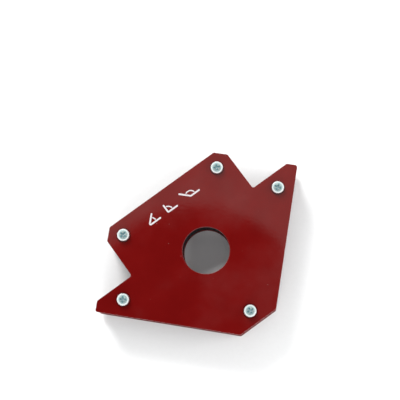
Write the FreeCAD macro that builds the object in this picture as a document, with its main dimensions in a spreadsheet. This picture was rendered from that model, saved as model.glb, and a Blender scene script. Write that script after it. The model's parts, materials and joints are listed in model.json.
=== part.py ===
import FreeCAD, Part
import os
import Sketcher

# Arrow-shaped magnetic holder for setting steel parts at 45, 90 and 135 degrees, in millimetres.
#
# Two steel plates with one arrow outline are held apart by threaded spacers.  A moulded frame
# between them carries ferrite magnets, two behind each long edge.  Pan-head screws hold each
# plate from outside, and a large hole goes through everything.
#
# The holder lies flat with its front plate up.  The origin is the middle of the large hole,
# halfway between the plates.  +Z points out of the front plate, the base edge faces -Y and the
# side edge faces +X.  The outline is its own mirror image about the line y = -x.

SIZES = [
    # The arrow outline
    ("edge_reach", 48.0, "hole centre to the base edge, and to the side edge"),
    ("tip_reach", 61.5, "hole centre to each tip, along the base or side edge"),
    ("corner_cut", 19.0, "length cut off each side of the square corner"),
    ("tip_land", 6.8, "short straight end of each tip"),
    ("notch_leg", 18.5, "depth of each notch, from the tip to its root"),
    ("notch_back", 19.0, "rise of each notch, from its root to the shoulder"),
    ("shoulder_land", 8.9, "short straight end of each shoulder"),
    # The stack of plates
    ("plate_thickness", 2.0, "one steel plate"),
    ("plate_gap", 13.0, "inner face to inner face"),
    ("corner_round", 1.5, "radius of the outline's corners"),
    ("edge_round", 0.3, "radius of the plates' deburred edges"),
    ("hole_diameter", 29.4, "large hole through both plates"),
    # The moulded frame
    ("core_inset", 1.0, "how far the frame stands back from the plates' edges"),
    ("collar_step", 0.5, "how far the frame stands back from the large hole"),
    ("collar_wall", 2.0, "wall between the large hole and the magnets"),
    ("rim_wall", 2.5, "wall between the frame's outside and the magnets"),
    ("window_wall", 2.0, "wall between two magnets, or a magnet and a spacer"),
    ("magnet_clearance", 0.15, "gap around each magnet"),
    ("magnet_chamfer", 0.8, "chamfer on the magnets' upright edges"),
    # Screws and spacers
    ("screw_diameter", 4.0, "outside of the thread"),
    ("screw_end_gap", 0.5, "screw end to the middle of the holder"),
    ("screw_point", 0.5, "chamfer on the screw's end"),
    ("head_diameter", 8.0, "pan head"),
    ("head_height", 2.9, "pan head, at its middle"),
    ("head_crown", 0.5, "rise of the domed top of the head"),
    ("head_round", 1.3, "radius round the top of the head"),
    ("recess_span", 4.6, "cross recess, tip to tip at the top"),
    ("recess_width", 1.25, "width of one wing of the recess"),
    ("recess_depth", 2.0, "depth of the recess"),
    ("recess_floor_span", 2.0, "cross recess, tip to tip at its floor"),
    ("recess_floor_width", 0.9, "width of one wing at the floor"),
    ("screw_hole_clearance", 0.5, "plate hole over screw, on the diameter"),
    ("thread_clearance", 0.1, "spacer bore over screw, on the diameter"),
    ("spacer_diameter", 8.0, "outside of a spacer"),
    ("spacer_clearance", 0.2, "frame hole over spacer, on the diameter"),
    ("spacer_chamfer", 0.4, "chamfer on a spacer's ends"),
    # Places of the screws
    ("tip_screw_edge", 10.0, "tip screw from the base or side edge"),
    ("tip_screw_end", 16.0, "tip screw from the end of the tip"),
    ("shoulder_screw_down", 9.6, "shoulder screw below the shoulder's end"),
    ("shoulder_screw_side", 5.2, "shoulder screw from the notch side of the shoulder"),
    ("corner_screw_gap", 8.3, "corner screw from the cut corner's face"),
]

# How far each screw's recess is turned, in degrees: no two are driven to the same angle.
TURN_STEP = 37.0

# Cutting sketches stand this far above a domed surface, so the cut leaves no skin on it.
OVERCUT = 0.1

# One magnet row behind each long edge: where it runs and which way is out to that edge.
DIAGONAL = "sqrt(0.5)"
MAGNET_ROWS = {
    "base": {"turn": 0, "along": ("-1", "0"), "out": ("0", "-1")},
    "side": {"turn": 90, "along": ("0", "1"), "out": ("1", "0")},
    "far": {"turn": 45, "along": (DIAGONAL, DIAGONAL), "out": (f"-{DIAGONAL}", DIAGONAL)},
}
MAGNETS_PER_ROW = 2


def add_sheet(doc):
    """The driving dimensions, one row each: what it is, then its value under its own name."""
    sheet = doc.addObject("Spreadsheet::Sheet", "sizes")
    for row, (name, value, meaning) in enumerate(SIZES, start=1):
        sheet.set(f"A{row}", meaning)
        sheet.set(f"B{row}", str(value))
        sheet.setAlias(f"B{row}", name)
    doc.recompute()


# ---- formulas: text that the document works out from the sheet ----

def arrow_outline(inset):
    """Corners of the arrow, anticlockwise, with every edge moved in by the formula inset.

    Moving the edges in gives the same kind of arrow again, so only its lengths change.
    """
    edge = f"(sizes.edge_reach - {inset})"
    tip = f"(sizes.tip_reach - {inset})"
    cut = f"(sizes.corner_cut - {inset} * (2 - sqrt(2)))"
    land = f"(sizes.tip_land - {inset} * sqrt(2))"
    leg = f"(sizes.notch_leg + {inset} * (sqrt(2) - 1))"
    back = f"(sizes.notch_back + {inset} * (sqrt(2) - 1))"
    shoulder = f"(sizes.shoulder_land - 2 * {inset} * (sqrt(2) - 1))"
    half = [
        (edge, f"{cut} - {edge}"),
        (edge, tip),
        (f"{edge} - {land}", tip),
        (f"{edge} - {land} - {leg}", f"{tip} - {leg}"),
        (f"{edge} - {land} - {leg} - {back}", f"{tip} - {leg} + {back}"),
        (f"{edge} - {land} - {leg} - {back} - {shoulder}", f"{tip} - {leg} + {back}"),
    ]
    return half + [mirrored(corner) for corner in reversed(half)]


def mirrored(point):
    """The formulas of a point's mirror image about the line y = -x."""
    x, y = point
    return f"-({y})", f"-({x})"


def screw_places():
    """Formulas of the five screw centres: the cut corner, then the tips and the shoulders."""
    corner = "(sizes.edge_reach - sizes.corner_cut / 2 - sizes.corner_screw_gap / sqrt(2))"
    tip = (
        "sizes.edge_reach - sizes.tip_screw_edge",
        "sizes.tip_reach - sizes.tip_screw_end",
    )
    shoulder = (
        "sizes.edge_reach - sizes.tip_land - sizes.notch_leg - sizes.notch_back"
        " - sizes.shoulder_screw_side",
        "sizes.tip_reach - sizes.notch_leg + sizes.notch_back - sizes.shoulder_screw_down",
    )
    return [(corner, f"-{corner}"), tip, shoulder, mirrored(shoulder), mirrored(tip)]


def magnet_row_room(row):
    """Formulas of the room for one row: its start and end along, its inside and outside."""
    collar = "(sizes.hole_diameter / 2 + sizes.collar_step + sizes.collar_wall)"
    boss = "((sizes.spacer_diameter + sizes.spacer_clearance) / 2 + sizes.window_wall)"
    rim = "(sizes.core_inset + sizes.rim_wall)"
    if row == "far":
        shoulder_x, shoulder_y = screw_places()[2]
        reach = ("(sizes.tip_reach - sizes.edge_reach + sizes.tip_land"
                 " + 2 * sizes.notch_back + sizes.shoulder_land) / sqrt(2)")
        end = f"(({shoulder_x} + {shoulder_y}) / sqrt(2) - {boss})"
        start = f"(-{end})"
    else:
        reach = "sizes.edge_reach"
        to_screw = f"sizes.tip_reach - sizes.tip_screw_end - {boss}"
        to_notch = ("sizes.tip_reach - sizes.notch_leg"
                    " - sizes.core_inset * sqrt(2) - sizes.rim_wall")
        end = f"min({to_screw}; {to_notch})"
        start = f"(sizes.window_wall - {collar})"
    return start, end, collar, f"({reach} - {rim})"


def magnet_windows():
    """Each magnet's window: its name, turn, centre, length, width and the row's directions."""
    windows = []
    for row, run in MAGNET_ROWS.items():
        start, end, inside, outside = magnet_row_room(row)
        webs = MAGNETS_PER_ROW - 1
        length = f"(({end} - {start} - {webs} * sizes.window_wall) / {MAGNETS_PER_ROW})"
        width = f"({outside} - {inside})"
        for number in range(MAGNETS_PER_ROW):
            middle = f"({start} + {number + 0.5} * {length} + {number} * sizes.window_wall)"
            depth = f"(({inside} + {outside}) / 2)"
            windows.append({
                "label": f"magnet_{row}_{number + 1}",
                "turn": run["turn"],
                "centre": on_row(run, middle, depth),
                "length": length,
                "width": width,
                "corners": [
                    on_row(run, f"({middle} + {a} * {length})", f"({depth} + {b} * {width})")
                    for a, b in ((-0.5, -0.5), (0.5, -0.5), (0.5, 0.5), (-0.5, 0.5))
                ],
            })
    return windows


def on_row(run, along, out):
    """Formulas of the point that lies along a row and out from the hole by two formulas."""
    return tuple(f"({along} * {run['along'][i]} + {out} * {run['out'][i]})" for i in (0, 1))


# ---- sketches ----

def add_sketch(body, name, plane="XY_Plane", lift=None):
    """An empty sketch on one of the body's own origin planes, lifted by a formula."""
    sketch = body.newObject("Sketcher::SketchObject", name)
    support = next(item for item in body.Origin.OriginFeatures if item.Role == plane)
    sketch.AttachmentSupport = (support, [""])
    sketch.MapMode = "FlatFace"
    if lift:
        sketch.setExpression("AttachmentOffset.Base.z", lift)
    return sketch


def pin_point(sketch, edge, end, point):
    """Hold one end (or centre, end 3) of an edge at a point given by two formulas."""
    for axis, formula in zip("XY", point):
        value = sketch.evalExpression(formula)
        rule = Sketcher.Constraint(f"Distance{axis}", -1, 1, edge, end, value)
        index = sketch.addConstraint(rule)
        sketch.setExpression(f"Constraints[{index}]", formula)


def add_loop(sketch, corners, domed=None):
    """A closed loop through corners given by formulas.

    The side numbered domed is an arc centred on the sketch's upright axis, the rest are lines.
    """
    places = [
        FreeCAD.Vector(sketch.evalExpression(x), sketch.evalExpression(y), 0)
        for x, y in corners
    ]
    sides = []
    for number, start in enumerate(places):
        end = places[(number + 1) % len(places)]
        if number == domed:
            sides.append(sketch.addGeometry(crown_arc(start, end)))
            sketch.addConstraint(Sketcher.Constraint("PointOnObject", sides[-1], 3, -2))
        else:
            sides.append(sketch.addGeometry(Part.LineSegment(start, end)))
    for number, side in enumerate(sides):
        following = sides[(number + 1) % len(sides)]
        sketch.addConstraint(Sketcher.Constraint("Coincident", side, 2, following, 1))
        pin_point(sketch, side, 1, corners[number])


def crown_arc(start, end):
    """The arc from start up to end, which is on the upright axis, as is the arc's centre."""
    drop = end.y - start.y
    radius = (start.x ** 2 + drop ** 2) / (2 * drop)
    circle = Part.Circle(FreeCAD.Vector(0, end.y - radius, 0), FreeCAD.Vector(0, 0, 1), radius)
    return Part.ArcOfCircle(circle, circle.parameter(start), circle.parameter(end))


def add_circle(sketch, centre, diameter):
    """A circle with its centre at two formulas (None for the origin)."""
    radius = sketch.evalExpression(diameter) / 2
    circle = sketch.addGeometry(Part.Circle(FreeCAD.Vector(), FreeCAD.Vector(0, 0, 1), radius))
    if centre is None:
        sketch.addConstraint(Sketcher.Constraint("Coincident", circle, 3, -1, 1))
    else:
        pin_point(sketch, circle, 3, centre)
    index = sketch.addConstraint(Sketcher.Constraint("Diameter", circle, 2 * radius))
    sketch.setExpression(f"Constraints[{index}]", diameter)


# ---- features ----

def add_pad(body, sketch, thickness):
    pad = body.newObject("PartDesign::Pad", "pad")
    pad.Profile = sketch
    pad.setExpression("Length", thickness)
    body.Document.recompute()
    return pad


def add_through_cut(body, sketch):
    """Cut the sketch right through the body, and make sure that it did cut."""
    before = body.Shape.Volume
    pocket = body.newObject("PartDesign::Pocket", "pocket")
    pocket.Profile = sketch
    pocket.Type = "ThroughAll"
    pocket.Reversed = True
    body.Document.recompute()
    if not body.Shape.Volume < before:
        raise RuntimeError(f"{body.Label}: {sketch.Label} cuts nothing")
    return pocket


def add_edge_treatment(body, kind, size, chosen):
    """A Fillet (its Radius) or Chamfer (its Size) on the edges for which chosen is true."""
    base = body.Tip
    names = [f"Edge{i}" for i, edge in enumerate(base.Shape.Edges, start=1) if chosen(edge)]
    if not names:
        raise RuntimeError(f"{body.Label}: no edge to treat")
    treatment = body.newObject(f"PartDesign::{kind}", kind.lower())
    treatment.Base = (base, names)
    treatment.setExpression("Radius" if kind == "Fillet" else "Size", size)
    body.Document.recompute()


def is_upright(edge):
    """True for a straight edge that runs along Z."""
    box = edge.BoundBox
    return edge.Curve.TypeId == "Part::GeomLine" and box.XLength + box.YLength < 1e-6


def is_level(edge):
    """True for any edge that lies in one horizontal plane."""
    return edge.BoundBox.ZLength < 1e-6


def place(body, x="0", y="0", z="0", rotation=None):
    """Put a finished body at three formulas, after an optional fixed rotation."""
    body.Placement = FreeCAD.Placement(FreeCAD.Vector(), rotation or FreeCAD.Rotation())
    for axis, formula in (("x", x), ("y", y), ("z", z)):
        body.setExpression(f"Placement.Base.{axis}", formula)


# ---- the pieces ----

def add_plate(doc, label, z):
    """A steel plate: the arrow with rounded corners, the large hole and five screw holes."""
    body = doc.addObject("PartDesign::Body", label)
    outline = add_sketch(body, "outline")
    add_loop(outline, arrow_outline("0"))
    add_pad(body, outline, "sizes.plate_thickness")
    add_edge_treatment(body, "Fillet", "sizes.corner_round", is_upright)
    hole = add_sketch(body, "large_hole")
    add_circle(hole, None, "sizes.hole_diameter")
    add_through_cut(body, hole)
    add_edge_treatment(body, "Fillet", "sizes.edge_round", is_level)
    screw_holes = add_sketch(body, "screw_holes")
    for centre in screw_places():
        add_circle(screw_holes, centre, "sizes.screw_diameter + sizes.screw_hole_clearance")
    add_through_cut(body, screw_holes)
    place(body, z=z)
    return body


def add_core_frame(doc):
    """The moulded frame: a smaller arrow with a collar, spacer bosses and magnet windows."""
    body = doc.addObject("PartDesign::Body", "core_frame")
    outline = add_sketch(body, "outline")
    add_loop(outline, arrow_outline("sizes.core_inset"))
    add_pad(body, outline, "sizes.plate_gap")
    add_edge_treatment(body, "Fillet", "sizes.corner_round", is_upright)
    bore = add_sketch(body, "collar_bore")
    add_circle(bore, None, "sizes.hole_diameter + 2 * sizes.collar_step")
    add_through_cut(body, bore)
    bosses = add_sketch(body, "spacer_holes")
    for centre in screw_places():
        add_circle(bosses, centre, "sizes.spacer_diameter + sizes.spacer_clearance")
    add_through_cut(body, bosses)
    openings = add_sketch(body, "magnet_windows")
    for window in magnet_windows():
        add_loop(openings, window["corners"])
    add_through_cut(body, openings)
    place(body, z="-sizes.plate_gap / 2")
    return body


def add_magnet(doc, window):
    """A ferrite block that fills its window in the frame, less the clearance all round."""
    body = doc.addObject("PartDesign::Body", window["label"])
    half_length = f"({window['length']} / 2 - sizes.magnet_clearance)"
    half_width = f"({window['width']} / 2 - sizes.magnet_clearance)"
    block = add_sketch(body, "block")
    add_loop(block, [
        (f"{a} * {half_length}", f"{b} * {half_width}")
        for a, b in ((-1, -1), (1, -1), (1, 1), (-1, 1))
    ])
    add_pad(body, block, "sizes.plate_gap")
    add_edge_treatment(body, "Chamfer", "sizes.magnet_chamfer", is_upright)
    x, y = window["centre"]
    turn = FreeCAD.Rotation(FreeCAD.Vector(0, 0, 1), window["turn"])
    place(body, x, y, "-sizes.plate_gap / 2", turn)
    return body


def add_spacer(doc, number, centre):
    """A threaded sleeve as long as the gap between the plates; its thread is a plain bore."""
    body = doc.addObject("PartDesign::Body", f"spacer_{number}")
    ring = add_sketch(body, "ring")
    add_circle(ring, None, "sizes.spacer_diameter")
    add_circle(ring, None, "sizes.screw_diameter + sizes.thread_clearance")
    add_pad(body, ring, "sizes.plate_gap")
    widest = max(edge.BoundBox.XLength for edge in body.Shape.Edges)
    add_edge_treatment(
        body, "Chamfer", "sizes.spacer_chamfer",
        lambda edge: is_level(edge) and edge.BoundBox.XLength > widest - 1e-6,
    )
    x, y = centre
    place(body, x, y, "-sizes.plate_gap / 2")
    return body


def add_screw(doc, label, centre, turn, front):
    """A pan-head screw, head up, its seat at z = 0: turned about its axis, then set in place."""
    body = doc.addObject("PartDesign::Body", label)
    add_screw_blank(body)
    add_cross_recess(body)
    rotation = FreeCAD.Rotation(FreeCAD.Vector(0, 0, 1), turn)
    seat = "(sizes.plate_gap / 2 + sizes.plate_thickness)"
    if not front:
        rotation = FreeCAD.Rotation(FreeCAD.Vector(1, 0, 0), 180) * rotation
        seat = f"-{seat}"
    x, y = centre
    place(body, x, y, seat, rotation)
    return body


def add_screw_blank(body):
    """The shank, which reaches almost to the middle of the holder, and the domed head."""
    seat_to_end = "(sizes.plate_thickness + sizes.plate_gap / 2 - sizes.screw_end_gap)"
    profile = add_sketch(body, "profile", "XZ_Plane")
    add_loop(profile, [
        ("0", f"-{seat_to_end}"),
        ("sizes.screw_diameter / 2 - sizes.screw_point", f"-{seat_to_end}"),
        ("sizes.screw_diameter / 2", f"sizes.screw_point - {seat_to_end}"),
        ("sizes.screw_diameter / 2", "0"),
        ("sizes.head_diameter / 2", "0"),
        ("sizes.head_diameter / 2", "sizes.head_height - sizes.head_crown"),
        ("0", "sizes.head_height"),
    ], domed=5)
    turned = body.newObject("PartDesign::Revolution", "turned")
    turned.Profile = profile
    turned.ReferenceAxis = (profile, ["V_Axis"])
    turned.Angle = 360
    body.Document.recompute()
    widest = max(edge.BoundBox.XLength for edge in body.Shape.Edges)
    add_edge_treatment(
        body, "Fillet", "sizes.head_round",
        lambda edge: is_level(edge) and edge.BoundBox.ZMin > 0.1
        and edge.BoundBox.XLength > widest - 1e-6,
    )


def add_cross_recess(body):
    """A cross-shaped recess that narrows from the head's top to the recess's floor."""
    before = body.Shape.Volume
    top = add_sketch(body, "recess_top", lift=f"sizes.head_height + {OVERCUT}")
    add_loop(top, cross_outline("sizes.recess_span", "sizes.recess_width"))
    floor = add_sketch(body, "recess_floor", lift="sizes.head_height - sizes.recess_depth")
    add_loop(floor, cross_outline("sizes.recess_floor_span", "sizes.recess_floor_width"))
    recess = body.newObject("PartDesign::SubtractiveLoft", "recess")
    recess.Profile = top
    recess.Sections = [floor]
    recess.Ruled = True
    body.Document.recompute()
    if not body.Shape.Volume < before:
        raise RuntimeError(f"{body.Label}: the recess cuts nothing")


def cross_outline(span, width):
    """Twelve corners of a plus sign, anticlockwise: three for each quarter turn."""
    far, near = f"({span} / 2)", f"({width} / 2)"
    quarter = [(far, f"-{near}"), (far, near), (near, near)]
    corners = []
    for _ in range(4):
        corners += quarter
        quarter = [(f"-({y})", x) for x, y in quarter]
    return corners


def build_pieces(doc):
    """Every piece of the holder, in a body of its own."""
    front_z = "sizes.plate_gap / 2"
    rear_z = "-sizes.plate_gap / 2 - sizes.plate_thickness"
    pieces = [add_plate(doc, "front_plate", front_z), add_plate(doc, "rear_plate", rear_z)]
    pieces.append(add_core_frame(doc))
    pieces += [add_magnet(doc, window) for window in magnet_windows()]
    for number, centre in enumerate(screw_places(), start=1):
        turn = TURN_STEP * number
        pieces.append(add_spacer(doc, number, centre))
        pieces.append(add_screw(doc, f"front_screw_{number}", centre, turn, front=True))
        pieces.append(add_screw(doc, f"rear_screw_{number}", centre, -turn, front=False))
    return pieces


def check_pieces(doc, pieces):
    """Stop before anything is written if a feature failed or a piece is not one sound solid."""
    for item in doc.Objects:
        if {"Invalid", "Error"} & set(item.State):
            raise RuntimeError(f"{item.Label} failed: {item.State}")
    for piece in pieces:
        shape = piece.Shape
        if shape.isNull() or not shape.isValid() or len(shape.Solids) != 1:
            raise RuntimeError(f"{piece.Label} is not one valid solid")


document = FreeCAD.newDocument("magnet_holder")
add_sheet(document)
all_pieces = build_pieces(document)
document.recompute()
check_pieces(document, all_pieces)
os.makedirs("parts", exist_ok=True)
for piece in all_pieces:
    piece.Shape.exportStep(f"parts/{piece.Label}.step")
    print(f"{piece.Label}: {piece.Shape.Volume / 1000:.2f} cm3")
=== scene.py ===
# %% [markdown]
# # A welding magnet, finished for a close look
# The real thing is a flat arrow: two red painted steel plates with a black moulded frame and
# magnets between them, held by bright screws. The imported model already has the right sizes, so
# this lesson only adds what a drawing leaves out: true screws, a printed mark, the mould's seam
# and a finish for every surface. All lengths are in metres, and MM turns millimetres into them.

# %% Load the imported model
import json
import math

import bpy
import numpy as np
from mathutils import Matrix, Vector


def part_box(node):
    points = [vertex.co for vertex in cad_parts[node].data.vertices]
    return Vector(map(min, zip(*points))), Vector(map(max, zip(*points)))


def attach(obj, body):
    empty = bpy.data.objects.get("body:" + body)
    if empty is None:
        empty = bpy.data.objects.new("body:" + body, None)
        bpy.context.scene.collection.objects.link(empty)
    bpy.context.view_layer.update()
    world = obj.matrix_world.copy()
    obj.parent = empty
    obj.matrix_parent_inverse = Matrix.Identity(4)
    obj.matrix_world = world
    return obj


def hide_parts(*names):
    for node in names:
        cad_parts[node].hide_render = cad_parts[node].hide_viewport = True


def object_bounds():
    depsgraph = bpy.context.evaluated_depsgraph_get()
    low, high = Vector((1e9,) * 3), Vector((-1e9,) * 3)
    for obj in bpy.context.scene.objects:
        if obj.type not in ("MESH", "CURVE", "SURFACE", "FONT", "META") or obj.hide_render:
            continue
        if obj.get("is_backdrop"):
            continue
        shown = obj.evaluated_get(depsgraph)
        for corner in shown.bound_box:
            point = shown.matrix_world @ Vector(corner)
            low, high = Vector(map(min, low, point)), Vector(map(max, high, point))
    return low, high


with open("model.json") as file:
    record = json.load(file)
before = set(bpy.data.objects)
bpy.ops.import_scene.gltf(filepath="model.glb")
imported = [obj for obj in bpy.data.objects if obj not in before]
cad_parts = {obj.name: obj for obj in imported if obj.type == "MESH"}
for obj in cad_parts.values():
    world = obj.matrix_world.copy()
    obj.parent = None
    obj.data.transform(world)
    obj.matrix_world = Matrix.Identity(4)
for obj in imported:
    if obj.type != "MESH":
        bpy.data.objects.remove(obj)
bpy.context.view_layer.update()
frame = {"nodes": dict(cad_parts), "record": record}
MM = 0.001

# %% [markdown]
# ## Where things are
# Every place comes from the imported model: the plates' faces, the middle of each screw, and the
# large hole's radius, which the record states for its mount.

# %% Read places from the frame
plate_low, plate_high = (np.array(corner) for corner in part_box("front_plate"))
core_low, core_high = (np.array(corner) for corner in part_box("core_frame"))
face_z = plate_high[2]
hole_radius = next(
    mount["dims"]["r_mm"] * MM
    for mount in frame["record"]["mounts"] if mount["name"] == "centre_hole"
)
screw_names = [
    f"{side}_screw_{number}" for side in ("front", "rear") for number in range(1, 6)
]
screw_boxes = {name: np.array([list(c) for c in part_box(name)]) for name in screw_names}
print("front face at", round(face_z / MM, 2), "mm, hole radius", round(hole_radius / MM, 2), "mm")

# %% [markdown]
# ## From arrays to a mesh
# Each new piece is a surface worked out as whole arrays. A piece is a stack of rings, and each
# ring has the same number of points, so one rule joins them all: a point, the next one round,
# and the same two on the ring above make one face. A stack either closes on itself, like a
# hoop, or ends in a point at both ends, like a turned pin. Counting the mesh's volume shows
# that its faces look outwards, because an inside-out mesh has a negative one.

# %% A mesh from a stack of rings
def mesh_from_rings(name, rings, hoop=False, sharp_degrees=32):
    """A closed mesh from rings shaped (ring, point, xyz).

    Point j of ring i is joined to point j + 1 and to the same points of ring i + 1. A hoop joins
    its last ring to its first; any other stack gets a fan to the mean of each end ring.
    """
    count, around = rings.shape[:2]
    index = np.arange(count * around).reshape(count, around)
    lower, upper = (index, np.roll(index, -1, 0)) if hoop else (index[:-1], index[1:])
    quads = np.stack([lower, np.roll(lower, -1, 1), np.roll(upper, -1, 1), upper], -1)
    faces = quads.reshape(-1, 4).tolist()
    points = rings.reshape(-1, 3)
    if not hoop:
        ends = index[[0, -1]]
        points = np.concatenate([points, rings[[0, -1]].mean(1)])
        apex = np.full(around, count * around)
        faces += np.stack([np.roll(ends[0], -1), ends[0], apex], -1).tolist()
        faces += np.stack([ends[1], np.roll(ends[1], -1), apex + 1], -1).tolist()
    mesh = bpy.data.meshes.new(name)
    mesh.from_pydata(points.tolist(), [], faces)
    mesh.shade_smooth()
    mesh.set_sharp_from_angle(angle=math.radians(sharp_degrees))
    return mesh


def add_piece(name, mesh, replaces=()):
    """Put a finished mesh in the scene as a piece of the holder."""
    piece = bpy.data.objects.new(name, mesh)
    bpy.context.scene.collection.objects.link(piece)
    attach(piece, "root")
    if replaces:
        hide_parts(*replaces)
    return piece


def signed_volume(mesh):
    """Sum over the triangles of a . (b x c) / 6, which is positive if faces look outwards."""
    mesh.calc_loop_triangles()
    corners = np.zeros(len(mesh.loop_triangles) * 3, np.int32)
    mesh.loop_triangles.foreach_get("vertices", corners)
    places = np.zeros(len(mesh.vertices) * 3)
    mesh.vertices.foreach_get("co", places)
    a, b, c = places.reshape(-1, 3)[corners.reshape(-1, 3)].transpose(1, 0, 2)
    return float(np.einsum("ij,ij->i", a, np.cross(b, c)).sum() / 6)


# %% [markdown]
# ## The screws
# Each screw is a cold-headed M4 pan head: a low dome with a cross recess, over a rolled thread.
# A boolean cut would do for the recess, but it leaves long thin faces that shade badly. Instead
# the whole screw is one stack of rings. Seen from above, a cross is a shape whose edge every ray
# from the middle meets once, so it is a radius for each angle. Rings can then change smoothly
# from the head's round rim to the cross's edge, go down its walls and close at its floor.

# %% The cross recess as a radius for each angle
HEAD_RADIUS = 4.0 * MM
HEAD_HEIGHT = 2.9 * MM
SHANK_RADIUS = 2.0 * MM
THREAD_PITCH = 0.7 * MM
POINTS_AROUND = 120
angles = np.linspace(0, 2 * np.pi, POINTS_AROUND, endpoint=False)


def cross_radius(half_length, half_width, core_radius, crispness=14.0):
    """Radius of a cross at every angle.

    Fold the angle into one wing, from -45 to 45 degrees. The wing's end is half_length over the
    angle's cosine and its side is half_width over its sine. The nearer of the two is the edge,
    blended by a power mean so that corners are round, and the core's circle is its least value.
    """
    folded = (angles + np.pi / 4) % (np.pi / 2) - np.pi / 4
    end = half_length / np.cos(folded)
    side = half_width / np.maximum(np.abs(np.sin(folded)), 1e-3)
    wing = (end ** -crispness + side ** -crispness) ** (-1 / crispness)
    return np.maximum(wing, core_radius)


# Half length of a wing, half width of a wing and radius of the core, at the recess's mouth, and
# how much each has shrunk at its floor
MOUTH = np.array([2.2, 0.53, 0.92]) * MM
NARROWING = np.array([1.15, 0.11, 0.34]) * MM
mouth = cross_radius(*MOUTH)
print("recess reaches from", round(mouth.min() / MM, 2), "to", round(mouth.max() / MM, 2), "mm")

# %% [markdown]
# The dome is a superellipse: full at its rim and almost flat on top, as a header punches it. The
# recess's edge is softly rolled over, and its floor is a shallow cone left by the punch's tip.

# %% The head, from its seat to the recess's floor
SEAT_ROUND = 0.18 * MM
DOME_POWER = 2.7
DOME_START = 0.75 * MM
ROUND_RIM_RADIUS = 2.9 * MM
RECESS_DEPTH = 2.0 * MM
ROLL_OVER = 0.07 * MM
FLOOR_CONE = 0.16 * MM


def dome_height(radius):
    """Height of the dome: ((z - start) / rise) ^ p = 1 - (radius / head radius) ^ p."""
    share = np.clip(radius / HEAD_RADIUS, 0, 1)
    rise = HEAD_HEIGHT - DOME_START
    return DOME_START + rise * (1 - share ** DOME_POWER) ** (1 / DOME_POWER)


def ring(radius, height):
    """One ring of points at a radius and a height, each a number or one value per angle."""
    radius, height = np.broadcast_arrays(radius, height, angles)[:2]
    return np.stack([radius * np.cos(angles), radius * np.sin(angles), height], -1)


def head_rings():
    """The rings of the head: seat, rounded lower edge, dome, rolled-over mouth, walls, floor.

    The dome's outer rings are circles, closer together near the rim, where it is steep. Inside
    ROUND_RIM_RADIUS they change evenly from a circle to the lip of the recess.
    """
    turn = np.linspace(0, np.pi / 2, 5)
    rings = [ring(SHANK_RADIUS * 1.02, 0.0)]
    rings += [
        ring(HEAD_RADIUS - SEAT_ROUND * (1 - np.sin(t)), SEAT_ROUND * (1 - np.cos(t)))
        for t in turn
    ]
    slope = np.linspace(0, 1, 13)[1:] ** 1.6
    radii = HEAD_RADIUS * np.cos(slope * np.pi / 2) ** (2 / DOME_POWER)
    radii = np.unique(np.maximum(radii, ROUND_RIM_RADIUS))[::-1]
    rings += [ring(radius, dome_height(radius)) for radius in radii]
    lip = mouth + ROLL_OVER
    for share in np.linspace(0, 1, 9)[1:]:
        radius = (1 - share) * ROUND_RIM_RADIUS + share * lip
        rings.append(ring(radius, dome_height(radius)))
    for t in turn[1:]:
        radius = lip - ROLL_OVER * np.sin(t)
        rings.append(ring(radius, dome_height(lip) - ROLL_OVER * (1 - np.cos(t))))
    top = dome_height(lip) - ROLL_OVER
    floor = HEAD_HEIGHT - RECESS_DEPTH
    for share in np.linspace(0, 1, 8)[1:]:
        narrow = cross_radius(*(MOUTH - share * NARROWING))
        rings.append(ring(narrow, top + share * (floor - top)))
    for share in (0.35, 0.7, 0.97):
        rings.append(ring(narrow * (1 - share), floor - FLOOR_CONE * share))
    return rings


# %% [markdown]
# A thread is a wave in the shank's radius that moves on by one pitch for each turn. It fades out
# under the head and at the point, where the rolling dies end.

# %% The threaded shank
SAMPLES_PER_PITCH = 7
THREAD_DEPTH = 0.36 * MM
POINT_LENGTH = 0.6 * MM
POINT_TAPER = 0.5 * MM
POINT_FLAT = 0.6 * MM
NECK_LENGTH = 0.25 * MM
RUN_OUT = 0.8 * MM


def shank_rings(length):
    """Rings from the point up to the seat.

    The radius is the thread's outside less its depth times a triangle wave of the phase
    height / pitch - angle / full turn, and the wave fades out near both ends.
    """
    count = int(length / THREAD_PITCH * SAMPLES_PER_PITCH)
    heights = np.linspace(-length, -NECK_LENGTH, count)
    phase = heights[:, None] / THREAD_PITCH - angles[None, :] / (2 * np.pi)
    wave = np.abs(2 * (phase % 1) - 1)
    past_point = np.clip((heights + length) / POINT_LENGTH, 0, 1)
    fade = past_point * np.clip(-heights / RUN_OUT, 0, 1)
    radius = SHANK_RADIUS - THREAD_DEPTH * wave * fade[:, None]
    radius = radius - POINT_TAPER * (1 - past_point)[:, None]
    rings = [ring(row, height) for row, height in zip(radius, heights)]
    return [ring(POINT_FLAT, -length)] + rings


# %% [markdown]
# The ten screws share these rings. Each is turned to where its driver happened to stop and put
# on its own axis, and the rear ones are tipped over by half a turn about X. A piece's own axis is
# gone once it is in place, so every point keeps its distance from the axis and its angle in an
# attribute, for marks that run round the head.

# %% Place the ten screws
TURN_STEP = math.radians(37)


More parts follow.
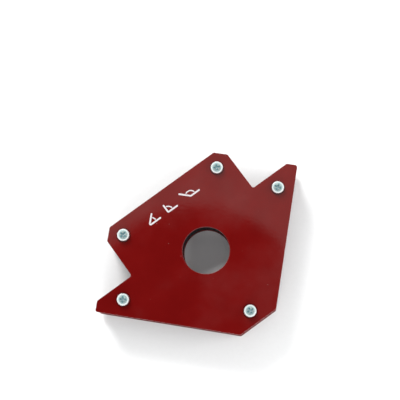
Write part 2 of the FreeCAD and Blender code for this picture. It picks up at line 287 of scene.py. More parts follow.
def place_screw(name):
    """A screw's mesh in place: turned about Z, tipped over if it is a rear one, then moved."""
    low, high = screw_boxes[name]
    front = name.startswith("front")
    number = int(name[-1])
    length = high[2] - low[2] - HEAD_HEIGHT
    local = np.stack(shank_rings(length) + head_rings())
    turn = TURN_STEP * number * (1 if front else -1)
    spin = np.array([
        [math.cos(turn), -math.sin(turn), 0],
        [math.sin(turn), math.cos(turn), 0],
        [0, 0, 1],
    ])
    tip = np.diag([1, 1, 1] if front else [1, -1, -1])
    seat = high[2] - HEAD_HEIGHT if front else low[2] + HEAD_HEIGHT
    middle = np.array([(low[0] + high[0]) / 2, (low[1] + high[1]) / 2, seat])
    mesh = mesh_from_rings(name + "_finished", local @ (tip @ spin).T + middle)
    ends = local[[0, -1]].mean(1)
    flat = np.concatenate([local.reshape(-1, 3), ends]).astype(np.float32)
    store = mesh.attributes.new("on_the_axis", "FLOAT_VECTOR", "POINT")
    store.data.foreach_set("vector", (flat / MM).ravel())
    return add_piece(name + "_finished", mesh, [name])


screws = [place_screw(name) for name in screw_names]
print(len(screws), "screws of", len(screws[0].data.polygons), "faces, each",
      round(signed_volume(screws[0].data) / MM ** 3, 1), "cubic mm")

# %% [markdown]
# ## The arrow's outline
# The mould's seam runs round the black frame, so its path is the frame's own outline. The box of
# the plate gives the places of the long edges and, at its top, of the shoulder. The rest are the
# lengths that a drawing would state. Moving every edge in by the same amount gives the same kind
# of arrow, with each length changed by a share of the square root of two, because the edges meet
# at 45, 90 or 135 degrees.

# %% The outline as an array
CORNER_CUT = 19.0 * MM
TIP_LAND = 6.8 * MM
NOTCH_LEG = 18.5 * MM
NOTCH_BACK = 19.0 * MM
SHOULDER_LAND = 8.9 * MM
ROOT_TWO = math.sqrt(2)


def arrow_corners(inset):
    """Twelve corners, anticlockwise. The second six mirror the first six about y = -x."""
    edge = plate_high[0] - inset
    tip = plate_high[1] + NOTCH_LEG - NOTCH_BACK - inset
    cut = CORNER_CUT - inset * (2 - ROOT_TWO)
    land = edge - (TIP_LAND - inset * ROOT_TWO)
    leg = NOTCH_LEG + inset * (ROOT_TWO - 1)
    back = NOTCH_BACK + inset * (ROOT_TWO - 1)
    shoulder = SHOULDER_LAND - 2 * inset * (ROOT_TWO - 1)
    half = np.array([
        [edge, cut - edge], [edge, tip], [land, tip], [land - leg, tip - leg],
        [land - leg - back, tip - leg + back], [land - leg - back - shoulder, tip - leg + back],
    ])
    return np.concatenate([half, -half[::-1, ::-1]])


def rounded(corners, radius, steps=7):
    """Replace each corner by an arc: it starts radius * tan(turn / 2) before the corner."""
    before = corners - np.roll(corners, 1, 0)
    after = np.roll(corners, -1, 0) - corners
    before = before / np.linalg.norm(before, axis=1, keepdims=True)
    after = after / np.linalg.norm(after, axis=1, keepdims=True)
    turn = np.arctan2(before[:, 0] * after[:, 1] - before[:, 1] * after[:, 0],
                      (before * after).sum(1))
    start = corners - before * (radius * np.tan(np.abs(turn) / 2))[:, None]
    left = np.stack([-before[:, 1], before[:, 0]], -1) * (radius * np.sign(turn))[:, None]
    swing = turn[:, None] * np.linspace(0, 1, steps)
    centre = (start + left)[:, None, :]
    x, y = -left[:, None, 0], -left[:, None, 1]
    arc = np.stack([x * np.cos(swing) - y * np.sin(swing),
                    x * np.sin(swing) + y * np.cos(swing)], -1)
    return (centre + arc).reshape(-1, 2)


# %% [markdown]
# ## The mould's seam
# The frame comes out of a two-part mould, and where the halves meet they leave a fine raised
# line round the outside and inside the hole. It could be a dark stripe in the material, but a
# stripe catches no light, so it is a low ridge: a flattened half-round carried along the path.

# %% Carry a small profile along a closed path
SEAM_RISE = 0.09 * MM
SEAM_HALF_WIDTH = 0.16 * MM
CORE_CORNER = 1.5 * MM


def outward(path):
    """Unit normals to the right of a closed anticlockwise path."""
    along = np.roll(path, -1, 0) - np.roll(path, 1, 0)
    normal = np.stack([along[:, 1], -along[:, 0]], -1)
    return normal / np.linalg.norm(normal, axis=1, keepdims=True)


def ridge(name, path, side, height):
    """A low ridge on a wall: rise * cos(t) outwards and half width * sin(t) downwards.

    The half of the profile that faces the wall is sunk into it, so the ridge is closed.
    """
    swing = np.linspace(0, 2 * np.pi, 12, endpoint=False)
    out = SEAM_RISE * np.cos(swing)
    up = -SEAM_HALF_WIDTH * np.sin(swing)
    flat = path[:, None, :] + side * outward(path)[:, None, :] * out[None, :, None]
    level = np.broadcast_to(height + side * up, flat.shape[:2])[..., None]
    return mesh_from_rings(name, np.concatenate([flat, level], -1), hoop=True, sharp_degrees=80)


core_inset = plate_high[0] - core_high[0]
core_path = rounded(arrow_corners(core_inset), CORE_CORNER)
COLLAR_STEP = 0.5 * MM
bore_angles = np.linspace(0, 2 * np.pi, 160, endpoint=False)
bore_circle = np.stack([np.cos(bore_angles), np.sin(bore_angles)], -1)
bore_path = (hole_radius + COLLAR_STEP) * bore_circle
mid_height = (core_low[2] + core_high[2]) / 2
seams = [
    add_piece("mould_seam_outside", ridge("mould_seam_outside", core_path, 1, mid_height)),
    add_piece("mould_seam_hole", ridge("mould_seam_hole", bore_path, -1, mid_height)),
]
print("seams:", [round(signed_volume(seam.data) / MM ** 3, 3) for seam in seams], "cubic mm")

# %% [markdown]
# ## The printed mark
# A holder like this carries a light print along its long slanted edge. Here it is three plain
# angle signs, for 45, 90 and 135 degrees: a bent stroke and an arc each. Screen ink is a film a
# few hundredths of a millimetre thick, so a stroke is a thin closed strip with round ends. Two
# strips in the same plane would fight over who is on top where they cross, so the two arms are
# one strip and the arc stops just short of them, as it would on a stencil.

# %% Strokes of ink
ARM_HALF_WIDTH = 0.52 * MM
ARC_HALF_WIDTH = 0.36 * MM
INK_FILM = 0.03 * MM
INK_SUNK = 0.01 * MM
BLUNT_END = 0.02 * MM


def ink_strip(path, half_width):
    """Rings of a strip along an open path, with round ends.

    At a distance s from an end, the half width is the square root of 2 r s - s squared, which is
    a circle's, up to r. Each ring is the strip's four corners there.
    """
    step = np.linalg.norm(np.diff(path, axis=0), axis=1)
    run = np.concatenate([[0], np.cumsum(step)])
    from_end = np.clip(np.minimum(run, run[-1] - run), 0, half_width)
    half = np.sqrt(np.maximum(2 * half_width * from_end - from_end ** 2, BLUNT_END ** 2))
    along = np.gradient(path, axis=0)
    along /= np.linalg.norm(along, axis=1, keepdims=True)
    side = np.stack([along[:, 1], -along[:, 0]], -1) * half[:, None]
    base, top = face_z - INK_SUNK, face_z + INK_FILM
    corners = [(path + side, base), (path - side, base), (path - side, top), (path + side, top)]
    return np.stack([np.column_stack([place, np.full(len(path), z)]) for place, z in corners], 1)


# %% [markdown]
# The two arms meet in a small bend instead of a point, because a strip that turns more sharply
# than half its width folds over itself on the inside.

# %% One angle sign
SIGN_HEIGHT = 5.6 * MM
BEND_RADIUS = 0.6 * MM
ARC_GAP = 0.3 * MM
SIGN_FROM_HOLE = 33.4 * MM


def eased(start, end, count):
    """Numbers from start to end that are close together at both ends."""
    return start + (end - start) * (1 - np.cos(np.linspace(0, np.pi, count))) / 2


def bent_arms(swing, level_length):
    """The path from the raised arm's tip, round the bend, to the level arm's tip.

    The bend touches both arms at radius / tan(swing / 2) from the vertex, and its centre is on
    the line that halves the angle, at radius / sin(swing / 2).
    """
    touch = BEND_RADIUS / math.tan(swing / 2)
    raised = np.array([math.cos(swing), math.sin(swing)])
    halving = np.array([math.cos(swing / 2), math.sin(swing / 2)])
    down = eased(SIGN_HEIGHT / math.sin(swing), touch, 36)[:-1, None] * raised
    turn = np.linspace(swing + np.pi / 2, 3 * np.pi / 2, 9)
    middle = halving * BEND_RADIUS / math.sin(swing / 2)
    bend = middle + BEND_RADIUS * np.stack([np.cos(turn), np.sin(turn)], -1)
    level = eased(touch, level_length, 36)[1:, None] * np.array([1.0, 0.0])
    return np.concatenate([down, bend, level])


def arc_between(swing, radius):
    """An arc about the vertex that stops a gap short of both arms."""
    trim = (ARM_HALF_WIDTH + ARC_GAP) / radius
    share = eased(trim, swing - trim, 40)
    return radius * np.stack([np.cos(share), np.sin(share)], -1)


def along_far_edge(path, shift):
    """Turn a path to run along the slanted edge and move it to its place beside that edge."""
    across = np.array([1, 1]) / ROOT_TWO
    away = np.array([-1, 1]) / ROOT_TWO
    return (path[:, :1] + shift) * across + (path[:, 1:] + SIGN_FROM_HOLE) * away


# %% Print the three signs
# Degrees: where the vertex is along the edge, the level arm's length, the arc's radius
SIGN_LAYOUT = {
    45: (-19.4 * MM, 8.8 * MM, 5.4 * MM),
    90: (-5.0 * MM, 7.4 * MM, 3.7 * MM),
    135: (12.4 * MM, 6.8 * MM, 3.4 * MM),
}
signs = []
for degrees, (shift, level_length, arc_radius) in SIGN_LAYOUT.items():
    swing = math.radians(degrees)
    strokes = {"arms": (bent_arms(swing, level_length), ARM_HALF_WIDTH),
               "arc": (arc_between(swing, arc_radius), ARC_HALF_WIDTH)}
    for part_name, (path, half_width) in strokes.items():
        name = f"printed_angle_{degrees}_{part_name}"
        strip = ink_strip(along_far_edge(path, shift), half_width)
        signs.append(add_piece(name, mesh_from_rings(name, strip)))
print(len(signs), "ink strokes of", [round(signed_volume(sign.data) / MM ** 3, 3)
                                     for sign in signs], "cubic mm")

# %% [markdown]
# ## Building materials from nodes
# Three short helpers keep the node trees readable: one adds a node and fills or links its
# sockets, one adds a sum, and one adds a soft step from 0 to 1.

# %% Node helpers
def add_node(tree, kind, inputs=None, **settings):
    """A new node. Each input is a number, a colour or another node's output to link."""
    item = tree.nodes.new(kind)
    for key, value in settings.items():
        setattr(item, key, value)
    for key, value in (inputs or {}).items():
        if isinstance(value, bpy.types.NodeSocket):
            tree.links.new(value, item.inputs[key])
        else:
            item.inputs[key].default_value = value
    return item


def sum_of(tree, operation, *values):
    """The output of a Math node."""
    return add_node(tree, "ShaderNodeMath", dict(enumerate(values)), operation=operation).outputs[0]


def soft_step(tree, value, low, high, smallest=0.0, largest=1.0):
    """A value mapped smoothly from smallest to largest between low and high."""
    inputs = {"Value": value, "From Min": low, "From Max": high,
              "To Min": smallest, "To Max": largest}
    return add_node(tree, "ShaderNodeMapRange", inputs,
                    interpolation_type="SMOOTHSTEP").outputs["Result"]


def blend_colours(tree, share, first, second):
    """A colour between two others."""
    item = add_node(tree, "ShaderNodeMix", {0: share}, data_type="RGBA")
    for socket, value in ((item.inputs[6], first), (item.inputs[7], second)):
        if isinstance(value, bpy.types.NodeSocket):
            tree.links.new(value, socket)
        else:
            socket.default_value = (*value, 1.0)
    return item.outputs[2]


def noise(tree, place, size, detail=3.0, roughness=0.5):
    """Noise whose blobs are about size across, in the coordinates' own unit, metres."""
    inputs = {"Vector": place, "Scale": 1.0 / size, "Detail": detail, "Roughness": roughness}
    return add_node(tree, "ShaderNodeTexNoise", inputs).outputs["Fac"]


# %% [markdown]
# ## Effects that finishes share
# Four effects turn up on more than one material, so each is a node group with its own named
# sockets: the slow ripple of sprayed paint or a moulded skin, the rounded edges, where a coat is
# thin and where the enamel is also painted lighter as a highlight, fine scratches, and dust that
# settles on faces that look up.

# %% Start a group
def new_group(name, inputs, outputs):
    """An empty shader node group with float sockets. Returns it, its inputs and its output."""
    group = bpy.data.node_groups.new(name, "ShaderNodeTree")
    for socket, value in inputs.items():
        made = group.interface.new_socket(name=socket, in_out="INPUT",
                                          socket_type="NodeSocketFloat")
        made.default_value = value
    for socket in outputs:
        group.interface.new_socket(name=socket, in_out="OUTPUT", socket_type="NodeSocketFloat")
    given = group.nodes.new("NodeGroupInput").outputs
    result = group.nodes.new("NodeGroupOutput").inputs
    return group, given, result


def own_place(tree):
    """Object coordinates, which are the holder's own, because every piece sits at its origin."""
    return add_node(tree, "ShaderNodeTexCoord").outputs["Object"]


def use_group(tree, group, **values):
    """Place a group in a material with its own values."""
    inputs = {key.replace("_", " ").capitalize(): value for key, value in values.items()}
    return add_node(tree, "ShaderNodeGroup", inputs, node_tree=group).outputs


# %% Ripple: the skin of sprayed paint or of a moulding
ripple, given, result = new_group("ripple", {"Size": 0.0012, "Fine size": 0.0003,
                                             "Fine share": 0.3}, ["Height", "Tone"])
place = own_place(ripple)
broad = add_node(ripple, "ShaderNodeTexNoise", {
    "Vector": place, "Scale": sum_of(ripple, "DIVIDE", 1.0, given["Size"]), "Detail": 2.0})
fine = add_node(ripple, "ShaderNodeTexNoise", {
    "Vector": place, "Scale": sum_of(ripple, "DIVIDE", 1.0, given["Fine size"]), "Detail": 4.0})
small = sum_of(ripple, "MULTIPLY", fine.outputs["Fac"], given["Fine share"])
ripple.links.new(sum_of(ripple, "ADD", broad.outputs["Fac"], small), result["Height"])
ripple.links.new(noise(ripple, place, 0.02, 4.0), result["Tone"])

# %% Rounded edges: where a rounded edge looks neither up nor sideways
rounded_edges, given, result = new_group("rounded_edges", {"Patchiness": 0.5}, ["Mask"])
coordinates = add_node(rounded_edges, "ShaderNodeTexCoord")
upness = add_node(rounded_edges, "ShaderNodeSeparateXYZ", {0: coordinates.outputs["Normal"]})
upness = sum_of(rounded_edges, "ABSOLUTE", upness.outputs["Z"])
band = sum_of(rounded_edges, "MULTIPLY", soft_step(rounded_edges, upness, 0.12, 0.45),
              soft_step(rounded_edges, upness, 0.8, 0.985, 1.0, 0.0))
patches = soft_step(rounded_edges, noise(rounded_edges, coordinates.outputs["Object"], 0.004, 5.0),
                    0.38, 0.62)
kept = sum_of(rounded_edges, "SUBTRACT", 1.0, given["Patchiness"])
spread = sum_of(rounded_edges, "MULTIPLY_ADD", patches, given["Patchiness"], kept)
rounded_edges.links.new(sum_of(rounded_edges, "MULTIPLY", band, spread), result["Mask"])

# %% Scratches: noise drawn out into hair lines in two directions
scratches, given, result = new_group("scratches", {"Amount": 0.5}, ["Mask"])
place = own_place(scratches)
lines = []
for turn, stretch in ((0.5, (60.0, 5200.0, 900.0)), (-0.95, (50.0, 4300.0, 900.0))):
    mapped = add_node(scratches, "ShaderNodeMapping", {
        "Vector": place, "Rotation": (0.0, 0.0, turn), "Scale": stretch})
    streak = add_node(scratches, "ShaderNodeTexNoise", {
        "Vector": mapped.outputs[0], "Scale": 1.0, "Detail": 1.0})
    lines.append(soft_step(scratches, streak.outputs["Fac"], 0.68, 0.76))
together = sum_of(scratches, "MAXIMUM", *lines)
gaps = soft_step(scratches, noise(scratches, place, 0.012, 3.0), 0.45, 0.65)
together = sum_of(scratches, "MULTIPLY", together, gaps)
scratches.links.new(sum_of(scratches, "MULTIPLY", together, given["Amount"]), result["Mask"])

# %% Dust: specks and a faint film on faces that look up
dust, given, result = new_group("dust", {"Amount": 0.5}, ["Mask"])
coordinates = add_node(dust, "ShaderNodeTexCoord")
upness = add_node(dust, "ShaderNodeSeparateXYZ", {0: coordinates.outputs["Normal"]}).outputs["Z"]
specks = add_node(dust, "ShaderNodeTexVoronoi", {
    "Vector": coordinates.outputs["Object"], "Scale": 260.0, "Randomness": 1.0})
dots = soft_step(dust, specks.outputs["Distance"], 0.03, 0.075, 1.0, 0.0)
rare = soft_step(dust, noise(dust, coordinates.outputs["Object"], 0.009, 2.0), 0.55, 0.62)
film = soft_step(dust, noise(dust, coordinates.outputs["Object"], 0.03, 6.0), 0.45, 0.8, 0.0, 0.06)
both = sum_of(dust, "MAXIMUM", sum_of(dust, "MULTIPLY", dots, rare), film)
facing = soft_step(dust, upness, 0.3, 0.9)
both = sum_of(dust, "MULTIPLY", both, facing)
dust.links.new(sum_of(dust, "MULTIPLY", both, given["Amount"]), result["Mask"])
print("shared effects:", [group.name for group in bpy.data.node_groups])

# %% [markdown]
# ## One material at a time
# Every material starts as a Principled shader. Numbers that are the same all over are set on the
# shader itself, and only what changes over the surface is linked.

# %% Start a material
def new_material(name, **constants):
    """A material with one Principled shader. Returns it, its tree and the shader."""
    material = bpy.data.materials.new(name)
    material.use_nodes = True
    tree = material.node_tree
    shader = tree.nodes["Principled BSDF"]
    for key, value in constants.items():
        shader.inputs[key.replace("_", " ").title().replace("Ior", "IOR")].default_value = value
    return material, tree, shader


def raise_surface(tree, shader, height, distance, strength=1.0):
    """Feed a height from 0 to 1 to the shader as relief of the given depth."""
    bump = add_node(tree, "ShaderNodeBump",
                    {"Height": height, "Distance": distance, "Strength": strength})
    tree.links.new(bump.outputs["Normal"], shader.inputs["Normal"])


# %% [markdown]
# ### Gloss red enamel
# The plates are sprayed and baked: a deep, slightly brown red with a high gloss. Close up, the
# coat has the slow ripple called orange peel. It draws thin over the rounded edges, which are
# painted a lighter red, partly as a painted highlight, and a few specks of dust lie on top. Round
# each head a fine dark ring is painted as contact shade, so the distance to the nearest screw's
# axis is worked out in the nodes. The rear screws stand on the same axes as the front ones.

# %% Paint the plates
enamel, tree, shader = new_material("gloss_red_enamel", ior=1.5)
skin = use_group(tree, ripple, size=0.0016, fine_size=0.0004, fine_share=0.12)
edges = use_group(tree, rounded_edges, patchiness=0.55)
lying = use_group(tree, dust, amount=0.35)
fine_lines = use_group(tree, scratches, amount=0.07)
deep_red, fresh_red = (0.101, 0.0019, 0.0018), (0.115, 0.0026, 0.0024)
colour = blend_colours(tree, soft_step(tree, skin["Tone"], 0.3, 0.7), deep_red, fresh_red)
# Lighter red on the rounded edges: thinner paint there, and also a painted highlight along them.
colour = blend_colours(tree, sum_of(tree, "MULTIPLY", edges["Mask"], 0.55), colour,
                       (0.27, 0.016, 0.014))
colour = blend_colours(tree, lying["Mask"], colour, (0.40, 0.33, 0.31))
parts = add_node(tree, "ShaderNodeSeparateXYZ", {0: own_place(tree)}).outputs
level = add_node(tree, "ShaderNodeCombineXYZ", {"X": parts["X"], "Y": parts["Y"]}).outputs[0]
nearest = 1.0
for name in screw_names[:5]:
    x, y = screw_boxes[name].mean(0)[:2]
    away = add_node(tree, "ShaderNodeVectorMath", {0: level, 1: (x, y, 0.0)},
                    operation="DISTANCE").outputs["Value"]
    nearest = sum_of(tree, "MINIMUM", away, nearest)
# A dark ring just outside each head: painted contact shade where the head meets the plate.
contact_shade_wobble = noise(tree, own_place(tree), 0.0012, 3.0)
contact_shade_edge = sum_of(tree, "MULTIPLY_ADD", contact_shade_wobble, 0.5 * MM, nearest)
painted_contact_shade = soft_step(tree, contact_shade_edge, HEAD_RADIUS + 0.35 * MM, HEAD_RADIUS + 1.0 * MM, 0.8, 0.0)
colour = blend_colours(tree, painted_contact_shade, colour, (0.018, 0.002, 0.002))
tree.links.new(colour, shader.inputs["Base Color"])
rough = soft_step(tree, skin["Tone"], 0.3, 0.7, 0.032, 0.05)
rough = sum_of(tree, "ADD", rough, sum_of(tree, "MULTIPLY", lying["Mask"], 0.5))
rough = sum_of(tree, "ADD", rough, sum_of(tree, "MULTIPLY", fine_lines["Mask"], 0.6))
tree.links.new(rough, shader.inputs["Roughness"])
raise_surface(tree, shader, skin["Height"], 0.0045 * MM)

# %% [markdown]
# ### Black moulding
# The frame is black nylon from a spark-eroded mould, which leaves a fine matt grain. A moulding
# is never quite even: it is a little greyer where it filled last, and drawing it out of the
# mould drags faint straight marks up and down its walls. Handling leaves a few paler hair lines.

# %% Mould the frame
moulding, tree, shader = new_material("black_moulding", ior=1.5, specular_ior_level=0.12)
skin = use_group(tree, ripple, size=0.0007, fine_size=0.00016, fine_share=1.2)
edges = use_group(tree, rounded_edges, patchiness=0.3)
lying = use_group(tree, dust, amount=0.5)
fine_lines = use_group(tree, scratches, amount=0.5)
stretched = add_node(tree, "ShaderNodeMapping", {
    "Vector": own_place(tree), "Scale": (1.0, 1.0, 0.03)}).outputs[0]
drag_marks = soft_step(tree, noise(tree, stretched, 0.0008, 3.0), 0.42, 0.66)
colour = blend_colours(tree, soft_step(tree, skin["Tone"], 0.35, 0.7),
                       (0.0045, 0.0045, 0.005), (0.0095, 0.0095, 0.0102))
colour = blend_colours(tree, sum_of(tree, "MULTIPLY", drag_marks, 0.35), colour,
                       (0.017, 0.017, 0.018))
pale_marks = sum_of(tree, "MAXIMUM", lying["Mask"],
                    sum_of(tree, "MULTIPLY", fine_lines["Mask"], 0.35))
colour = blend_colours(tree, pale_marks, colour, (0.2, 0.19, 0.18))
tree.links.new(colour, shader.inputs["Base Color"])
rough = soft_step(tree, skin["Height"], 0.5, 1.5, 0.56, 0.82)
rough = sum_of(tree, "SUBTRACT", rough, sum_of(tree, "MULTIPLY", edges["Mask"], 0.15))
rough = sum_of(tree, "SUBTRACT", rough, sum_of(tree, "MULTIPLY", drag_marks, 0.07))
tree.links.new(rough, shader.inputs["Roughness"])
relief = sum_of(tree, "MULTIPLY_ADD", drag_marks, 0.25, skin["Height"])
raise_surface(tree, shader, relief, 0.035 * MM)

# %% [markdown]
# ### Bright zinc
# Zinc plate with a clear chromate is a cool, faintly blue-green metal. The header leaves fine
# rings in the head, and the plating bath leaves it a little cloudy. The recess is painted duller
# and darker than the crown, as painted shade for the little light that gets in, and the plate is
# thinner there too. The rim is painted nearly white, a painted highlight for the bright ring it
# mirrors. The rings follow each screw's own axis, so they read the attribute that was kept for
# them.

# %% Plate the screws
zinc, tree, shader = new_material("bright_zinc", metallic=1.0)
on_axis = add_node(tree, "ShaderNodeAttribute", attribute_name="on_the_axis").outputs["Vector"]
parts = add_node(tree, "ShaderNodeSeparateXYZ", {0: on_axis}).outputs
squares = [sum_of(tree, "MULTIPLY", parts[axis], parts[axis]) for axis in ("X", "Y")]
across = sum_of(tree, "SQRT", sum_of(tree, "ADD", *squares))
cloud = noise(tree, own_place(tree), 0.0011, 4.0, 0.6)
grain = noise(tree, own_place(tree), 0.00016, 3.0, 0.6)
wobble = sum_of(tree, "MULTIPLY_ADD", cloud, 0.5, across)
wave = sum_of(tree, "SINE", sum_of(tree, "MULTIPLY", wobble, 26.0))
rings_mark = sum_of(tree, "MULTIPLY_ADD", wave, 0.5, 0.5)
crown = blend_colours(tree, soft_step(tree, cloud, 0.35, 0.68), (0.72, 0.97, 0.95),
                      (0.86, 1.0, 0.97))
# Nearly white towards the rim: a painted highlight for the bright ring the rims mirror.
tint = blend_colours(tree, soft_step(tree, across, 2.8, 3.6), crown, (0.98, 0.99, 0.98))
# Darker and bluer low in the recess: painted shade where little light gets in.
deep = soft_step(tree, sum_of(tree, "MULTIPLY_ADD", across, 0.35, parts["Z"]), 1.6, 3.2)
tint = blend_colours(tree, deep, (0.58, 0.78, 0.82), tint)
fine_lines = use_group(tree, scratches, amount=0.5)
tint = blend_colours(tree, fine_lines["Mask"], tint, (0.97, 0.98, 0.97))
tree.links.new(tint, shader.inputs["Base Color"])
rough = soft_step(tree, cloud, 0.3, 0.7, 0.16, 0.28)
rough = sum_of(tree, "ADD", rough, sum_of(tree, "MULTIPLY", grain, 0.08))
tree.links.new(rough, shader.inputs["Roughness"])
relief = sum_of(tree, "MULTIPLY_ADD", rings_mark, 0.35, grain)
raise_surface(tree, shader, relief, 0.0025 * MM)

# %% [markdown]
# ### Ink, ferrite and sleeves
# The print is a flat off-white ink. The magnets are ground ferrite, a dark grey ceramic with
# open pores, and the sleeves are turned aluminium with fine rings. Magnets and sleeves are
# closed in between the plates, and a copy taken apart should still look right.

# %% Ink, ferrite and aluminium
ink, tree, shader = new_material("white_ink", ior=1.45)
skin = use_group(tree, ripple, size=0.0006, fine_size=0.00015, fine_share=0.6)
colour = blend_colours(tree, soft_step(tree, skin["Height"], 0.45, 1.1), (0.43, 0.405, 0.415),
                       (0.57, 0.545, 0.555))
tree.links.new(colour, shader.inputs["Base Color"])
tree.links.new(soft_step(tree, skin["Tone"], 0.3, 0.7, 0.38, 0.5), shader.inputs["Roughness"])
raise_surface(tree, shader, skin["Height"], 0.008 * MM)

ferrite, tree, shader = new_material("ground_ferrite", ior=1.8)
place = own_place(tree)
pores = add_node(tree, "ShaderNodeTexVoronoi", {"Vector": place, "Scale": 900.0}).outputs[0]
pits = soft_step(tree, pores, 0.06, 0.2)
cloud = noise(tree, place, 0.003, 5.0)
colour = blend_colours(tree, soft_step(tree, cloud, 0.3, 0.7), (0.035, 0.035, 0.037),
                       (0.062, 0.061, 0.06))
# Near black in the pores: painted shade in the pits.
colour = blend_colours(tree, pits, (0.012, 0.012, 0.012), colour)
tree.links.new(colour, shader.inputs["Base Color"])
fine_lines = use_group(tree, scratches, amount=0.8)
rough = sum_of(tree, "SUBTRACT", soft_step(tree, cloud, 0.3, 0.7, 0.5, 0.62),
               sum_of(tree, "MULTIPLY", fine_lines["Mask"], 0.2))
tree.links.new(rough, shader.inputs["Roughness"])
raise_surface(tree, shader, pits, 0.03 * MM)

turned, tree, shader = new_material("turned_aluminium", metallic=1.0)
parts = add_node(tree, "ShaderNodeSeparateXYZ", {0: own_place(tree)}).outputs
feed = sum_of(tree, "SINE", sum_of(tree, "MULTIPLY", parts["Z"], 2 * math.pi / (0.18 * MM)))
cloud = noise(tree, own_place(tree), 0.002, 4.0)
colour = blend_colours(tree, soft_step(tree, cloud, 0.3, 0.7), (0.70, 0.71, 0.72),
                       (0.82, 0.82, 0.83))
tree.links.new(colour, shader.inputs["Base Color"])
tree.links.new(soft_step(tree, cloud, 0.3, 0.7, 0.25, 0.38), shader.inputs["Roughness"])
raise_surface(tree, shader, sum_of(tree, "MULTIPLY_ADD", feed, 0.5, 0.5), 0.01 * MM)

# %% [markdown]
# ## Dress every piece
# The record lists which material slot each node of the model has. Those names pick the finish
# here, so a node added later gets one too.

# %% Give each node and piece its finish
FINISHES = {
    "red_paint": enamel, "black_moulding": moulding, "bright_zinc": zinc,
    "ferrite": ferrite, "spacer_metal": turned, "white_ink": ink,
}


def dress(piece, material):
    """Replace whatever materials a piece came with by one."""
    piece.data.materials.clear()
    piece.data.materials.append(material)


for part in frame["record"]["subparts"]:
    dress(frame["nodes"][part["node"]], FINISHES[part["material_slot"]])
for piece in screws:
    dress(piece, zinc)
for piece in seams:
    dress(piece, moulding)
for piece in signs:
    dress(piece, ink)

# %% [markdown]
# ## The studio
# The holder lies on its rear screw heads on a pale table. A paint this glossy shows whatever is
# above it, so the studio is bright low down all round and dark overhead: the flat plate keeps
# its deep colour, and the domed screws catch the bright ring on their rims.

# %% The table
FLOOR_HALF = 9.0
holder_low, holder_high = (np.array(corner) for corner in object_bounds())
table_corners = [(x * FLOOR_HALF, y * FLOOR_HALF, holder_low[2])
                 for x, y in ((-1, -1), (1, -1), (1, 1), (-1, 1))]
table_mesh = bpy.data.meshes.new("table")
table_mesh.from_pydata(table_corners, [], [(0, 1, 2, 3)])
table = bpy.data.objects.new("table", table_mesh)
bpy.context.scene.collection.objects.link(table)
paper, tree, shader = new_material("pale_paper", roughness=0.75)
colour = blend_colours(tree, noise(tree, own_place(tree), 0.002, 6.0), (0.80, 0.80, 0.795),
                       (0.84, 0.84, 0.838))
tree.links.new(colour, shader.inputs["Base Color"])
dress(table, paper)
table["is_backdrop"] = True

# %% [markdown]
# The sky is brightest from halfway down to the horizon and dim overhead, where a broad soft panel
# and a round black card hang. A direction divided by its own height is where it meets a level
# ceiling, so both are drawn there: the panel as a rectangle and the card as a disc. The flat
# plate shows the panel over its far side, with the card's edge as a soft curved line.

# %% The surroundings
SKY_LOW, SKY_OVERHEAD = (0.96, 0.97, 0.98), (0.36, 0.365, 0.38)
PANEL_GREY, PANEL_MIDDLE = (0.68, 0.66, 0.63), (-0.09, 0.30)
CARD_GREY, CARD_MIDDLE = (0.03, 0.03, 0.032), (-0.084, 0.058)
world = bpy.data.worlds.new("studio")
world.use_nodes = True
tree = world.node_tree
direction = add_node(tree, "ShaderNodeTexCoord").outputs["Generated"]
height = add_node(tree, "ShaderNodeSeparateXYZ", {0: direction}).outputs["Z"]
ceiling = add_node(tree, "ShaderNodeVectorMath", {
    0: direction, "Scale": sum_of(tree, "DIVIDE", 1.0, sum_of(tree, "MAXIMUM", height, 0.05))},
    operation="SCALE").outputs["Vector"]
from_card = add_node(tree, "ShaderNodeVectorMath", {0: ceiling, 1: (*CARD_MIDDLE, 1.0)},
                     operation="DISTANCE").outputs["Value"]
on_ceiling = add_node(tree, "ShaderNodeSeparateXYZ", {0: ceiling}).outputs
past_panel = sum_of(tree, "MAXIMUM", *[
    sum_of(tree, "ABSOLUTE", sum_of(tree, "SUBTRACT", on_ceiling[axis], centre))
    for axis, centre in zip("XY", PANEL_MIDDLE)
])
sky = blend_colours(tree, soft_step(tree, height, 0.6, 0.92), SKY_LOW, SKY_OVERHEAD)
sky = blend_colours(tree, soft_step(tree, past_panel, 0.18, 0.26), PANEL_GREY, sky)
sky = blend_colours(tree, soft_step(tree, from_card, 0.112, 0.118), CARD_GREY, sky)
tree.links.new(sky, tree.nodes["Background"].inputs["Color"])
tree.nodes["Background"].inputs["Strength"].default_value = 1.0
bpy.context.scene.world = world


# %% [markdown]
# Three soft lights finish it: a broad key from above the slanted edge, a weaker fill from the
# right, and a low panel in front that lights the near edges. From some sides the glossy plate
# would mirror a panel as a white patch that hides the paint, so the panels don't show in
# reflections, and the sky gives the gloss all that it mirrors.

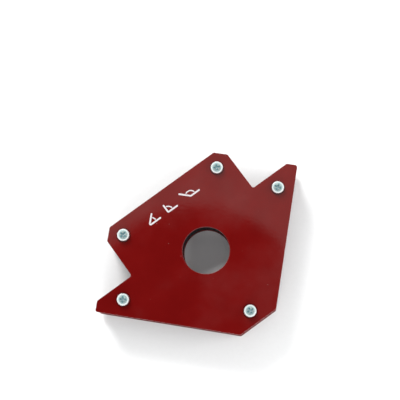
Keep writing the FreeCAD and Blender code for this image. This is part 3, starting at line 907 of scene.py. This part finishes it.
# %% The lights
def add_panel(name, place, aim, size, power):
    """A square soft panel at a place, facing a point, in watts."""
    lamp = bpy.data.lights.new(name, "AREA")
    lamp.shape, lamp.size, lamp.energy = "SQUARE", size, power
    panel = bpy.data.objects.new(name, lamp)
    back = np.array(place) - np.array(aim)
    panel.rotation_euler = (math.atan2(math.hypot(back[0], back[1]), back[2]), 0,
                            math.atan2(back[0], -back[1]))
    panel.location = place
    panel.visible_glossy = False
    bpy.context.scene.collection.objects.link(panel)


middle = (holder_low + holder_high) / 2
add_panel("key", middle + (-0.50, 0.74, 0.50), middle, 0.45, 14.0)
add_panel("fill", middle + (0.85, 0.10, 0.42), middle, 0.50, 5.0)
add_panel("front", middle + (0.10, -0.80, 0.35), middle, 0.55, 4.5)

# %% [markdown]
# ## The camera
# The camera stands about 60 cm above the plate, eleven and a half degrees off straight down, and
# is rolled so that the holder leans a little clockwise. It is put in place by that angle, the
# compass direction it leans towards, its distance and the width of what it sees.

# %% Set up the camera
LOOK_AT = np.array([-8.74 * MM, 30.63 * MM, face_z])
LEAN = math.radians(11.5)
LEAN_TOWARDS = math.radians(-60.6)
ROLL = math.radians(-9.28)
DISTANCE = 0.60
SEEN_WIDTH = 0.2496
SENSOR_WIDTH = 36.0

back = np.array([math.sin(LEAN) * math.cos(LEAN_TOWARDS),
                 math.sin(LEAN) * math.sin(LEAN_TOWARDS), math.cos(LEAN)])
right = np.cross([math.sin(ROLL), math.cos(ROLL), 0.0], back)
right /= np.linalg.norm(right)
up = np.cross(back, right)
lens = bpy.data.cameras.new("camera")
lens.sensor_width = SENSOR_WIDTH
lens.lens = SENSOR_WIDTH * DISTANCE / SEEN_WIDTH
lens.clip_start = 0.01
camera = bpy.data.objects.new("camera", lens)
pose = np.eye(4)
pose[:3, :3] = np.stack([right, up, back], 1)
pose[:3, 3] = LOOK_AT + DISTANCE * back
camera.matrix_world = Matrix(pose.tolist())
bpy.context.scene.collection.objects.link(camera)
bpy.context.scene.camera = camera
bpy.context.scene.view_settings.view_transform = "Standard"
print("lens", round(lens.lens, 1), "mm at", np.round(pose[:3, 3], 3).tolist())
